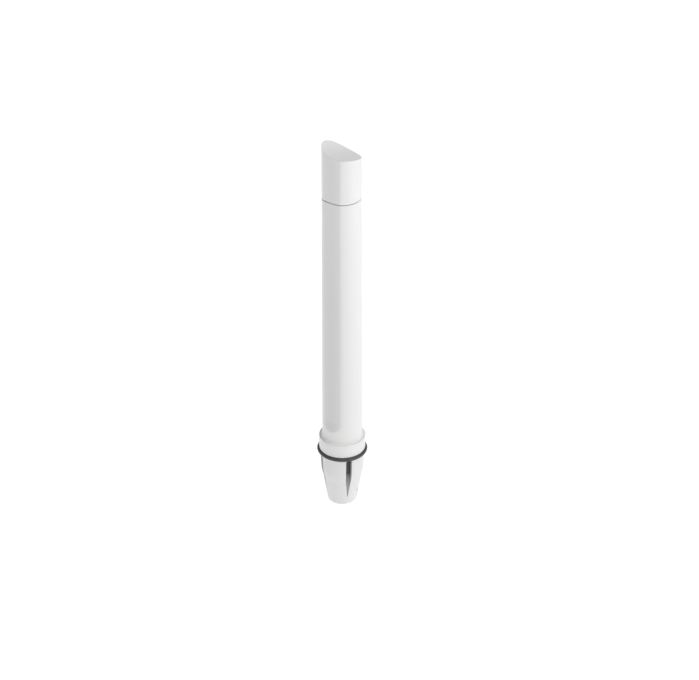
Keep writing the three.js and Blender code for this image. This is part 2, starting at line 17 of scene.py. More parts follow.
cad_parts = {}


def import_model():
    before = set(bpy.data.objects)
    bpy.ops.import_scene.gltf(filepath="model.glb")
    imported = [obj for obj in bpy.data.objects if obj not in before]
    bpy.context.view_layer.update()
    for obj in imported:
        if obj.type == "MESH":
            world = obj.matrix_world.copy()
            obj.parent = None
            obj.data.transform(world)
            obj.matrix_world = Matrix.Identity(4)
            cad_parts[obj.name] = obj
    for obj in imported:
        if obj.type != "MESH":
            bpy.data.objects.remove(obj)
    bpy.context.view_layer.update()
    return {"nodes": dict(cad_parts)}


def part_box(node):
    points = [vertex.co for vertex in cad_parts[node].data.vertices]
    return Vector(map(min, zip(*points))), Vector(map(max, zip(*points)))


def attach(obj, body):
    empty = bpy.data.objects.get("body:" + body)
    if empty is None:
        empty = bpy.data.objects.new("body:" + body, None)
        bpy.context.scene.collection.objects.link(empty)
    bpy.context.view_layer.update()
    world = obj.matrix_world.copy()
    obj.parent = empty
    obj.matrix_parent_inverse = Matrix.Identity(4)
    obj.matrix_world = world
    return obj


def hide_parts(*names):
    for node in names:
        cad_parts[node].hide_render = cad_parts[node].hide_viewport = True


MM = 0.001
ROUND_STEPS = 240
FINE_STEPS = 96

LOG = logging.getLogger("antenna")

Point = tuple[float, float]
Corner = tuple[float, float, float]
Colour = tuple[float, float, float]


# ---- finishes -----------------------------------------------------------------------------


class Surface(Enum):
    """How the fine surface of a finish is patterned."""

    SPARKED = "sparked"
    MOULDED = "moulded"
    TURNED = "turned"
    ROLLED = "rolled"
    CELLULAR = "cellular"
    WOVEN = "woven"


# How many finer octaves each noisy surface has, and how it is stretched along X, Y and Z: even
# pitting, a soft ripple, a lathe's rings round Z and the lines that rolling leaves along Z.
NOISES: dict[Surface, tuple[int, Corner]] = {
    Surface.SPARKED: (2, (1, 1, 1)),
    Surface.MOULDED: (1, (1, 1, 1)),
    Surface.TURNED: (2, (0.02, 0.02, 1)),
    Surface.ROLLED: (3, (1, 1, 0.03)),
}


class NodeSheet:
    """Adds nodes to one material and links them.

    Args:
        name: The material's name.
    """

    def __init__(self, name: str) -> None:
        """Start a material with only its output and its shader."""
        self.material = bpy.data.materials.new(name)
        self.material.use_nodes = True
        self.tree = self.material.node_tree
        self.tree.nodes.clear()
        self.output = self.add("ShaderNodeOutputMaterial")
        self.shader = self.add("ShaderNodeBsdfPrincipled")
        self.join(self.shader, "BSDF", self.output, "Surface")
        self.place = self.add("ShaderNodeTexCoord")

    def add(self, kind: str, **inputs: object) -> bpy.types.Node:
        """Add one node.

        Args:
            kind: The node's type name.
            inputs: Values for its sockets, with spaces written as underscores.

        Returns:
            The new node.
        """
        node = self.tree.nodes.new(kind)
        for key, value in inputs.items():
            node.inputs[key.replace("_", " ")].default_value = value
        return node

    def join(self, source: bpy.types.Node, output: str | int, target: bpy.types.Node,
             socket: str | int) -> None:
        """Link an output of one node to an input of another."""
        self.tree.links.new(source.outputs[output], target.inputs[socket])

    def stretched(self, scale: Sequence[float]) -> bpy.types.Node:
        """Object coordinates stretched along the axes.

        Args:
            scale: The factor along X, Y and Z.

        Returns:
            The Mapping node that gives them.
        """
        mapping = self.add("ShaderNodeMapping", Scale=tuple(scale))
        self.join(self.place, "Object", mapping, "Vector")
        return mapping

    def axes(self) -> bpy.types.Node:
        """Object coordinates taken apart into X, Y and Z."""
        parts = self.add("ShaderNodeSeparateXYZ")
        self.join(self.place, "Object", parts, 0)
        return parts

    def noise(self, size: float, detail: float = 3.0, stretch: Sequence[float] = (1, 1, 1)
              ) -> bpy.types.Node:
        """A noise whose blotches are about the given size.

        Args:
            size: The size of a blotch in millimetres.
            detail: The number of finer octaves.
            stretch: The factor along X, Y and Z.

        Returns:
            The Noise node.
        """
        node = self.add("ShaderNodeTexNoise", Scale=1 / (size * MM), Detail=detail, Roughness=0.55)
        self.join(self.stretched(stretch), "Vector", node, "Vector")
        return node

    def ranged(self, source: bpy.types.Node, output: str | int, low: float, high: float,
               start: float = 0.3, stop: float = 0.7) -> bpy.types.Node:
        """Carry a value from one range to another.

        Args:
            source: The node that gives the value.
            output: Its output.
            low: The result at start.
            high: The result at stop.
            start: The value that gives low.
            stop: The value that gives high.

        Returns:
            The Map Range node.
        """
        node = self.add("ShaderNodeMapRange", From_Min=start, From_Max=stop, To_Min=low,
                        To_Max=high)
        self.join(source, output, node, "Value")
        return node

    def mixed(self, factor: bpy.types.Node, output: str | int, first: Colour, second: Colour
              ) -> bpy.types.Node:
        """Mix two colours by a value.

        Args:
            factor: The node that gives the value.
            output: Its output.
            first: The colour at 0.
            second: The colour at 1.

        Returns:
            The Mix node, whose output 2 is the colour.
        """
        node = self.add("ShaderNodeMix")
        node.data_type = "RGBA"
        node.inputs[6].default_value = (*first, 1)
        node.inputs[7].default_value = (*second, 1)
        self.join(factor, output, node, 0)
        return node

    def maths(self, operation: str, *values: tuple[bpy.types.Node, int] | float) -> bpy.types.Node:
        """One step of arithmetic.

        Args:
            operation: The Math node's operation.
            values: Its inputs, each a number or a node with its output.

        Returns:
            The Math node.
        """
        node = self.add("ShaderNodeMath")
        node.operation = operation
        for i, value in enumerate(values):
            if isinstance(value, tuple):
                self.join(value[0], value[1], node, i)
            else:
                node.inputs[i].default_value = value
        return node

    def bumped(self, height: bpy.types.Node, output: str | int, depth: float) -> None:
        """Give the shader a relief.

        Args:
            height: The node that gives the height, from 0 to 1.
            output: Its output.
            depth: The relief's depth in millimetres.
        """
        bump = self.add("ShaderNodeBump", Strength=1.0, Distance=depth * MM)
        self.join(height, output, bump, "Height")
        self.join(bump, "Normal", self.shader, "Normal")


@dataclass(frozen=True)
class Finish:
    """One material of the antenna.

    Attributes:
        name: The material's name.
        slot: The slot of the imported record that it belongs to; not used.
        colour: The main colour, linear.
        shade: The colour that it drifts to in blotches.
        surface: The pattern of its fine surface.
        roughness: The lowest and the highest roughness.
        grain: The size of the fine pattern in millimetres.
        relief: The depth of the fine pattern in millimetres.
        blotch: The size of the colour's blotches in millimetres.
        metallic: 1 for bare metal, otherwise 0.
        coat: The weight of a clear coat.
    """

    name: str
    slot: str
    colour: Colour
    shade: Colour
    surface: Surface
    roughness: tuple[float, float] = (0.4, 0.5)
    grain: float = 0.5
    relief: float = 0.01
    blotch: float = 25.0
    metallic: float = 0.0
    coat: float = 0.0

    def material(self) -> bpy.types.Material:
        """The Blender material, made the first time that it is asked for."""
        found = bpy.data.materials.get(f"{self.name}_finish")
        return found or self._make()

    def _make(self) -> bpy.types.Material:
        """Build the material's nodes."""
        sheet = NodeSheet(f"{self.name}_finish")
        sheet.shader.inputs["Metallic"].default_value = self.metallic
        sheet.shader.inputs["Coat Weight"].default_value = self.coat
        height = self._patterned(sheet)
        sheet.join(self._coloured(sheet), 2, sheet.shader, "Base Color")
        wear = sheet.noise(self.blotch * 0.3, detail=5)
        rough = sheet.ranged(wear, 0, *self.roughness)
        sheet.join(rough, 0, sheet.shader, "Roughness")
        sheet.bumped(height, 0, self.relief)
        return sheet.material

    def _coloured(self, sheet: NodeSheet) -> bpy.types.Node:
        """The colour with its blotches, from output 2 of the node that is returned."""
        factor = sheet.ranged(sheet.noise(self.blotch, detail=4), 0, 0, 1)
        return sheet.mixed(factor, 0, self.colour, self.shade)

    def _patterned(self, sheet: NodeSheet) -> bpy.types.Node:
        """The fine pattern's height, from output 0 of the node that is returned."""
        if self.surface is Surface.CELLULAR:
            return self._cellular(sheet)
        if self.surface is Surface.WOVEN:
            return self._woven(sheet)
        detail, stretch = NOISES[self.surface]
        return sheet.noise(self.grain, detail=detail, stretch=stretch)

    def _cellular(self, sheet: NodeSheet) -> bpy.types.Node:
        """The closed cells of a cut foam."""
        cells = sheet.add("ShaderNodeTexVoronoi", Scale=1 / (self.grain * MM))
        sheet.join(sheet.place, "Object", cells, "Vector")
        return cells

    def _woven(self, sheet: NodeSheet) -> bpy.types.Node:
        """The weave of glass cloth under a clear resin."""
        weave = sheet.add("ShaderNodeTexChecker", Scale=1 / (self.grain * MM))
        sheet.join(sheet.place, "Object", weave, "Vector")
        return sheet.ranged(weave, 1, 0.2, 0.8, 0, 1)


@dataclass(frozen=True)
class ShadeFadingFinish(Finish):
    """A finish with painted shade: darkest high up, turning paler downwards.

    Attributes:
        pale: The colour at the lower height, where the painted shade has faded out.
        low: The lower height, in millimetres.
        high: The height above which the main colour holds.
    """

    pale: Colour = (0.5, 0.5, 0.5)
    low: float = 0.0
    high: float = 1.0

    def _coloured(self, sheet: NodeSheet) -> bpy.types.Node:
        """The colour, mixed with the pale one by height, as painted shade that lifts downwards."""
        parts = sheet.axes()
        # painted shade: dark above high, paling to the pale colour at low
        share = sheet.ranged(parts, 2, 1, 0, self.low * MM, self.high * MM)
        mix = sheet.mixed(share, 0, self.colour, self.pale)
        sheet.join(super()._coloured(sheet), 2, mix, 6)
        return mix


@dataclass(frozen=True)
class ShadedFacetFinish(Finish):
    """A finish with painted shade on the facet: a darker patch that ends in a tongue above the
    shoulder.

    Attributes:
        panel: The painted shade's colour in the middle of its foot.
        half_angle: Half the angle that the painted shade spans, in degrees.
        edge: The width over which the painted shade fades in, in degrees.
        inner: The distance from the pole's axis inside which there is no painted shade, in
            millimetres.
        rim_share: How much of the painted shade is left at its edges.
        top_share: How much of it is left at the top.
        tip: The height of the tongue's tip, in millimetres.
        side: The height where the tongue's sides start to close.
        fade: The height over which the tongue's end fades out.
        full_height: The height up to which the whole of the painted shade holds.
        weak_height: The height from which only top_share of it is left.
        inner_fade: The distance over which the painted shade starts outside inner.
    """

    panel: Colour = (0.7, 0.7, 0.7)
    half_angle: float = 31.5
    edge: float = 2.5
    inner: float = 20.0
    rim_share: float = 0.5
    top_share: float = 0.6
    tip: float = 109.0
    side: float = 118.0
    fade: float = 1.5
    full_height: float = 125.0
    weak_height: float = 420.0
    inner_fade: float = 0.5

    def _coloured(self, sheet: NodeSheet) -> bpy.types.Node:
        """The colour, mixed with the painted shade's darker colour on the facet."""
        parts = sheet.axes()
        behind = sheet.maths("MULTIPLY", (parts, 1), -1.0)
        azimuth = sheet.maths("ARCTAN2", (parts, 0), (behind, 0))
        away = sheet.maths("ABSOLUTE", (azimuth, 0))
        limit = math.radians(self.half_angle)
        across = sheet.ranged(away, 0, 1, 0, limit - math.radians(self.edge), limit)
        share = sheet.maths("DIVIDE", (away, 0), limit)
        square = sheet.maths("POWER", (share, 0), 2.0)
        closing = sheet.maths("MULTIPLY", (square, 0), (self.side - self.tip) * MM)
        above = sheet.maths("SUBTRACT", (parts, 2), (closing, 0))
        along = sheet.ranged(above, 0, 0, 1, self.tip * MM, (self.tip + self.fade) * MM)
        weaker = sheet.ranged(square, 0, 1, self.rim_share, 0, 1)
        upper = sheet.ranged(parts, 2, 1, self.top_share, self.full_height * MM,
                             self.weak_height * MM)
        flat = sheet.maths("MULTIPLY", (parts, 0), (parts, 0))
        deep = sheet.maths("MULTIPLY", (parts, 1), (parts, 1))
        reach = sheet.maths("SQRT", (sheet.maths("ADD", (flat, 0), (deep, 0)), 0))
        outside = sheet.ranged(reach, 0, 0, 1, self.inner * MM,
                               (self.inner + self.inner_fade) * MM)
        both = across
        for factor in (along, weaker, upper, outside):
            both = sheet.maths("MULTIPLY", (both, 0), (factor, 0))
        # painted shade: darkest in the middle of the facet's foot, weaker towards its edges and the
        # top
        mix = sheet.mixed(both, 0, self.colour, self.panel)
        sheet.join(super()._coloured(sheet), 2, mix, 6)
        return mix


# The radome's white carries painted shade on its facet, in the panel colour.
SHELL = ShadedFacetFinish("white_radome", "shell", (0.825, 0.825, 0.82), (0.8, 0.801, 0.796),
                    Surface.SPARKED, roughness=(0.34, 0.44), grain=0.45, relief=0.012, blotch=60,
                    panel=(0.7, 0.701, 0.698))
FERRULE = Finish("white_ferrule", "ferrule", (0.785, 0.785, 0.78), (0.76, 0.761, 0.756),
                 Surface.SPARKED, roughness=(0.38, 0.48), grain=0.6, relief=0.016, blotch=30)
BLACK_PLASTIC = Finish("black_nylon", "black_plastic", (0.06, 0.06, 0.062), (0.05, 0.05, 0.052),
                       Surface.SPARKED, roughness=(0.45, 0.6), grain=0.7, relief=0.03)
# The grey core's dark tone and its paling downwards are painted shade seen through the slots: deep
# high up, lighter where the slots grow shallow.
GREY_SLOT_SHADE = ShadeFadingFinish("grey_slot_shade", "grey_plastic", (0.16, 0.161, 0.163),
                            (0.14, 0.141, 0.143), Surface.SPARKED, roughness=(0.5, 0.65),
                            grain=0.6, relief=0.02, blotch=12, pale=(0.6, 0.6, 0.6), low=16,
                            high=46)
BLACK_RUBBER = Finish("black_rubber", "black_rubber", (0.058, 0.058, 0.059), (0.07, 0.07, 0.071),
                      Surface.MOULDED, roughness=(0.5, 0.65), grain=0.9, relief=0.02, blotch=6)
GREY_RUBBER = Finish("grey_seam_rubber", "grey_rubber", (0.46, 0.463, 0.465), (0.4, 0.403, 0.405),
                     Surface.CELLULAR, roughness=(0.7, 0.85), grain=0.4, relief=0.03, blotch=5)
STAINLESS = Finish("turned_stainless", "stainless", (0.56, 0.57, 0.58), (0.5, 0.51, 0.52),
                   Surface.TURNED, roughness=(0.22, 0.34), grain=0.25, relief=0.004, blotch=8,
                   metallic=1)
BLACK_STEEL = Finish("black_oxide", "black_steel", (0.03, 0.031, 0.033), (0.045, 0.045, 0.048),
                     Surface.TURNED, roughness=(0.4, 0.55), grain=0.2, relief=0.004, blotch=3,
                     metallic=1)
NICKEL = Finish("nickel_plate", "nickel", (0.62, 0.6, 0.56), (0.56, 0.54, 0.5), Surface.TURNED,
                roughness=(0.14, 0.24), grain=0.3, relief=0.003, blotch=6, metallic=1)
GILT = Finish("gold_plate", "gilt", (0.83, 0.6, 0.24), (0.76, 0.52, 0.2), Surface.TURNED,
              roughness=(0.12, 0.2), grain=0.2, relief=0.002, blotch=3, metallic=1)
COPPER = Finish("copper_foil", "copper", (0.72, 0.34, 0.18), (0.6, 0.26, 0.14), Surface.ROLLED,
                roughness=(0.25, 0.4), grain=0.4, relief=0.003, blotch=12, metallic=1)
LAMINATE = Finish("board_laminate", "laminate", (0.035, 0.16, 0.06), (0.045, 0.2, 0.08),
                  Surface.WOVEN, roughness=(0.25, 0.35), grain=0.8, relief=0.006, blotch=20,
                  coat=0.4)
FLUOROPOLYMER = Finish("fluoropolymer", "fluoropolymer", (0.8, 0.79, 0.74), (0.75, 0.74, 0.68),
                       Surface.TURNED, roughness=(0.35, 0.5), grain=0.3, relief=0.006, blotch=6)
FERRITE = Finish("ferrite", "ferrite", (0.03, 0.03, 0.033), (0.045, 0.045, 0.05), Surface.SPARKED,
                 roughness=(0.55, 0.75), grain=0.35, relief=0.03, blotch=5)
COAX_JACKET = Finish("coax_jacket", "coax_jacket", (0.09, 0.035, 0.015), (0.12, 0.05, 0.02),
                     Surface.ROLLED, roughness=(0.25, 0.4), grain=0.5, relief=0.01, blotch=8)
FOAM = Finish("foam", "foam", (0.7, 0.68, 0.6), (0.62, 0.6, 0.52), Surface.CELLULAR,
              roughness=(0.85, 0.95), grain=0.9, relief=0.25, blotch=15)


# ---- modelling helpers --------------------------------------------------------------------


def rounded(corners: Iterable[Corner], closed: bool = True, turn: float = 12.0) -> list[Point]:
    """An outline whose corners are replaced by arcs.

    Args:
        corners: Radius, height and corner radius of each corner, in millimetres.
        closed: Whether the last corner joins the first.
        turn: The angle between two points of an arc, in degrees.

    Returns:
        The outline's points as radius and height, in metres.
    """
    spots = [Vector((r, z)) * MM for r, z, _ in corners]
    radii = [radius * MM for _, _, radius in corners]
    outline: list[Point] = []
    for i, (spot, radius) in enumerate(zip(spots, radii)):
        open_end = not closed and i in (0, len(spots) - 1)
        if radius <= 0 or open_end:
            outline.append(tuple(spot))
            continue
        back = (spots[i - 1] - spot).normalized()
        ahead = (spots[(i + 1) % len(spots)] - spot).normalized()
        bend = math.pi - back.angle(ahead)
        reach = radius * math.tan(bend / 2)
        middle = (back + ahead).normalized() * (radius / math.cos(bend / 2))
        centre = spot + middle
        start = spot + back * reach - centre
        sense = 1 if back.cross(ahead) < 0 else -1
        count = max(2, math.ceil(math.degrees(bend) / turn))
        for step in range(count + 1):
            swing = Matrix.Rotation(sense * bend * step / count, 2)
            outline.append(tuple(centre + swing @ start))
    return outline


def stations(start: float, stop: float, step: float) -> list[float]:
    """Evenly spaced values from start to stop, both included, about a step apart."""
    count = max(1, round(abs(stop - start) / step))
    return [start + (stop - start) * i / count for i in range(count + 1)]


def spun(outline: Sequence[Point], steps: int = ROUND_STEPS, closed: bool = True
         ) -> bmesh.types.BMesh:
    """A body of revolution about Z.

    Args:
        outline: Radius and height of each point, in metres.
        steps: The number of steps round.
        closed: Whether the last point joins the first.

    Returns:
        The mesh, with its faces pointing out.
    """
    mesh = bmesh.new()
    verts = [mesh.verts.new((r, 0, z)) for r, z in outline]
    pairs = list(zip(verts, verts[1:]))
    if closed:
        pairs.append((verts[-1], verts[0]))
    edges = [mesh.edges.new(pair) for pair in pairs]
    bmesh.ops.spin(mesh, geom=verts + edges, cent=(0, 0, 0), axis=(0, 0, 1),
                   angle=2 * math.pi, steps=steps, use_merge=True)
    bmesh.ops.remove_doubles(mesh, verts=mesh.verts, dist=1e-7)
    bmesh.ops.recalc_face_normals(mesh, faces=mesh.faces)
    return mesh


def threaded(mesh: bmesh.types.BMesh, root: float, crest: float, pitch: float, foot: float,
             turns: float, steps: int = 48) -> None:
    """Add a helical vee thread to a round body.

    Args:
        mesh: The body, in metres.
        root: The radius of the thread's root, just inside the body's surface, in millimetres.
        crest: The radius of its crest.
        pitch: The rise of one turn.
        foot: The height where it starts.
        turns: The number of turns.
        steps: The number of steps in a turn.
    """
    count = round(turns * steps)
    before = set(mesh.faces)
    rings = []
    for i in range(count + 1):
        angle = 2 * math.pi * i / steps
        height = foot + pitch * i / steps
        reach = root + (crest - root) * min(1, max(0.02, min(i, count - i) / (0.5 * steps)))
        section = [(root, -0.45), (reach, -0.08), (reach, 0.08), (root, 0.45)]
        rings.append([mesh.verts.new((r * math.cos(angle) * MM, r * math.sin(angle) * MM,
                                      (height + part * pitch) * MM)) for r, part in section])
    for low, high in zip(rings, rings[1:]):
        for j in range(4):
            mesh.faces.new((low[j], low[(j + 1) % 4], high[(j + 1) % 4], high[j]))
    mesh.faces.new(rings[0])
    mesh.faces.new(rings[-1])
    bmesh.ops.recalc_face_normals(mesh, faces=[face for face in mesh.faces if face not in before])


def softened(line: Sequence[Point], rounds: int = 3) -> list[Point]:
    """A line whose corners are cut off again and again, with its ends kept.

    Args:
        line: The line's points.
        rounds: The number of times that the corners are cut off.

    Returns:
        The smoother line.
    """
    for _ in range(rounds):
        cut = [line[0]]
        for (x0, y0), (x1, y1) in zip(line, line[1:]):
            cut.append((0.75 * x0 + 0.25 * x1, 0.75 * y0 + 0.25 * y1))
            cut.append((0.25 * x0 + 0.75 * x1, 0.25 * y0 + 0.75 * y1))
        line = [*cut, line[-1]]
    return list(line)


def towards(mesh: bmesh.types.BMesh, azimuth: float) -> None:
    """Turn a mesh drawn along +X so that it points to an azimuth in degrees."""
    turn = Matrix.Rotation(math.radians(azimuth - 90), 3, "Z")
    bmesh.ops.rotate(mesh, cent=(0, 0, 0), matrix=turn, verts=mesh.verts)


def made(mesh: bmesh.types.BMesh, name: str, crease: float = 35.0) -> bpy.types.Object:
    """Turn a bmesh into an object at the origin, shaded smooth below a crease angle.

    Args:
        mesh: The mesh, which is freed.
        name: The object's name.
        crease: The angle between faces above which their edge stays sharp, in degrees.

    Returns:
        The new object.
    """
    data = bpy.data.meshes.new(name)
    mesh.to_mesh(data)
    mesh.free()
    data.shade_smooth()
    data.set_sharp_from_angle(angle=math.radians(crease))
    piece = bpy.data.objects.new(name, data)
    bpy.context.scene.collection.objects.link(piece)
    return piece


def rod(radius: float, depth: float, segments: int) -> bmesh.types.BMesh:
    """A closed prism or cylinder along Z, centred on the origin, with its sizes in millimetres."""
    mesh = bmesh.new()
    bmesh.ops.create_cone(mesh, cap_ends=True, segments=segments, radius1=radius * MM,
                          radius2=radius * MM, depth=depth * MM)
    return mesh


def carved(piece: bpy.types.Object, tools: Sequence[bpy.types.Object], crease: float = 35.0,
           merges: bool = False) -> bpy.types.Object:
    """Cut closed tools out of a piece and remove them.

    Args:
        piece: The piece that is cut.
        tools: The closed meshes to cut with.
        crease: The angle above which an edge stays sharp, in degrees.
        merges: Whether the piece is made of bodies that overlap, which the cut then merges.

    Returns:
        The same piece, with the cuts in its mesh.
    """
    for tool in tools:
        step = piece.modifiers.new("cut", "BOOLEAN")
        step.object = tool
        step.operation = "DIFFERENCE"
        step.solver = "EXACT"
        step.use_self = merges
    depsgraph = bpy.context.evaluated_depsgraph_get()
    result = bpy.data.meshes.new_from_object(piece.evaluated_get(depsgraph))
    piece.modifiers.clear()
    old, piece.data = piece.data, result
    bpy.data.meshes.remove(old)
    result.name = piece.name
    for tool in tools:
        bpy.data.objects.remove(tool)
    result.shade_smooth()
    result.set_sharp_from_angle(angle=math.radians(crease))
    return piece


def dressed(piece: bpy.types.Object, finish: Finish, body: str, *nodes: str) -> bpy.types.Object:
    """Give a new piece its finish, its body and the nodes that it stands for.

    Args:
        piece: The new piece.
        finish: Its finish.
        body: The body that it moves with.
        nodes: The CAD nodes that it replaces.

    Returns:
        The same piece.
    """
    piece.data.materials.clear()
    piece.data.materials.append(finish.material())
    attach(piece, body)
    if nodes:
        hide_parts(*nodes)
    LOG.info("%s: %d faces, on %s", piece.name, len(piece.data.polygons), body)
    return piece


def at_azimuth(azimuth: float, radius: float, height: float) -> Vector:
    """The point at an azimuth in degrees, a radius and a height in metres."""
    angle = math.radians(azimuth)
    return Vector((radius * math.sin(angle), -radius * math.cos(angle), height))


# ---- the pole's section -------------------------------------------------------------------


@dataclass(frozen=True)
class Pole:
    """The drafted round section with one crowned facet that radome and cap share.

    Attributes:
        base_radius: The radius above the shoulder, in millimetres.
        top_radius: The radius at the seam.
        base: The height where the draft starts.
        top: The height of the seam.
        crease: Half the angle between the facet's two creases, in degrees.
        crown_offset: How far behind the pole's axis the axis of the facet's crown lies.
        facet_foot: The height where the facet starts to run out.
        runout: The radius of the run-out.
        crease_low: How softly the facet meets the round at its foot.
        crease_high: How softly it meets it at the cap.
    """

    base_radius: float = 24.5
    top_radius: float = 22.95
    base: float = 100.0
    top: float = 420.8
    crease: float = 31.0
    crown_offset: float = 39.2
    facet_foot: float = 125.0
    runout: float = 24.0
    crease_low: float = 2.4
    crease_high: float = 0.3

    def drafted(self, height: float) -> float:
        """The straight draft's radius at a height, both in millimetres."""
        part = (height - self.base) / (self.top - self.base)
        return self.base_radius + (self.top_radius - self.base_radius) * part

    def radius(self, height: float) -> float:
        """The outer radius at a height, both in millimetres."""
        return self.drafted(min(max(height, self.base), self.top))

    def crown(self, height: float) -> float:
        """The facet's distance from its own axis at a height, both in millimetres."""
        below = min(max(self.facet_foot - height, 0), self.runout)
        lift = self.runout - math.sqrt(self.runout ** 2 - below ** 2)
        radius = self.drafted(max(height, self.facet_foot))
        angle = math.radians(self.crease)
        return math.hypot(radius * math.sin(angle), radius * math.cos(angle) + self.crown_offset
                          ) + lift

    def facet(self, height: float, depth: float, cosine: float) -> float:
        """The facet's distance from the pole's axis.

        Args:
            height: The height, in millimetres.
            depth: How far the surface lies inside the outside.
            cosine: The cosine of the azimuth.

        Returns:
            The distance, in millimetres.
        """
        aside = self.crown_offset ** 2 * (1 - cosine ** 2)
        return math.sqrt((self.crown(height) - depth) ** 2 - aside) - self.crown_offset * cosine

    def softness(self, height: float) -> float:
        """The width over which facet and round blend at a height, in millimetres."""
        part = min(max((height - self.base) / (self.top - self.base), 0), 1)
        return self.crease_low + (self.crease_high - self.crease_low) * part

    def flatten(self, mesh: bmesh.types.BMesh, inset: Callable[[float, float], float]) -> None:
        """Press the facet into a round mesh by drawing points in towards the axis.

        Args:
            mesh: The mesh, in metres.
            inset: How far the surface at a radius and height lies inside the outside, in
                millimetres.
        """
        for vert in mesh.verts:
            radius = vert.co.xy.length / MM
            if radius < 1e-6:
                continue
            height = vert.co.z / MM
            depth = inset(radius, height)
            cosine = -vert.co.y / MM / radius
            if cosine < 0.2:
                continue
            full = self.radius(height) - depth
            flat = self.facet(height, depth, cosine)
            blend = self.softness(height)
            mix = min(max(0.5 + 0.5 * (full - flat) / blend, 0), 1)
            limit = full + (flat - full) * mix - blend * mix * (1 - mix)
            scale = min(1, limit / full)
            vert.co.x *= scale
            vert.co.y *= scale


@dataclass
class Radome:
    """The white tube: collar, shoulder and pole with its facet.

    Attributes:
        pole: The section that it shares with the cap.
        wall: The wall's thickness, in millimetres.
        bore: The collar's bore.
        edge: The rounding of the collar's lower edge.
        shoulder_rise: The height of the concave flare.
        lip: The rounding of the collar's upper edge.
    """

    pole: Pole
    wall: float = 2.4
    bore: float = 21.3
    edge: float = 1.1
    shoulder_rise: float = 5.0
    lip: float = 0.9
    low: Vector = field(init=False)
    high: Vector = field(init=False)

    def __post_init__(self) -> None:
        """Take the collar's and the tube's extent from the frame."""
        self.low, self.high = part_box("radome_tube")

    def outline(self) -> list[Point]:
        """The tube's closed section, from the collar's foot up the outside and down the bore.

        Returns:
            Radius and height of each point, in metres.
        """
        collar = self.high.x / MM
        foot = self.low.z / MM
        top = self.high.z / MM
        flare_foot = self.pole.base - self.shoulder_rise
        collar_part = rounded([
            (self.bore, foot, 0),
            (collar, foot, self.edge),
            (collar, flare_foot, self.lip),
            (collar - 2 * self.lip, flare_foot, 0),
        ], closed=False)
        run = collar - self.lip - self.pole.base_radius
        flare = []
        for angle in stations(math.pi / 2, 0, 0.12)[1:]:
            radius = self.pole.base_radius + run * (1 - math.cos(angle))
            height = self.pole.base - self.shoulder_rise * math.sin(angle)
            flare.append((radius * MM, height * MM))
        heights = stations(self.pole.base, self.pole.facet_foot + 3, 0.7)[1:]
        heights += stations(heights[-1], top - 0.3, 12)[1:]
        outside = [(self.pole.radius(z) * MM, z * MM) for z in heights]
        rim = rounded([
            (self.pole.radius(top), top - 0.3, 0),
            (self.pole.radius(top), top, 0.25),
            (self.pole.radius(top) - self.wall, top, 0.25),
            (self.pole.radius(top) - self.wall, top - 1, 0),
        ], closed=False)[1:]
        down = [z for z in reversed(heights) if z < top - 2] + [self.pole.base]
        inside = [((self.pole.radius(z) - self.wall) * MM, z * MM) for z in down]
        return collar_part[:-1] + flare + outside + rim + inside

    def build(self) -> bpy.types.Object:
        """Make and dress the tube.

        Returns:
            The radome's object.
        """
        mesh = spun(self.outline(), 360)

        def inset(radius: float, height: float) -> float:
            """Nothing on the outside, a wall's thickness on the bore."""
            return max(self.pole.radius(height) - radius, 0)

        self.pole.flatten(mesh, inset)
        return dressed(made(mesh, "radome_shell"), SHELL, "antenna", "radome_tube")


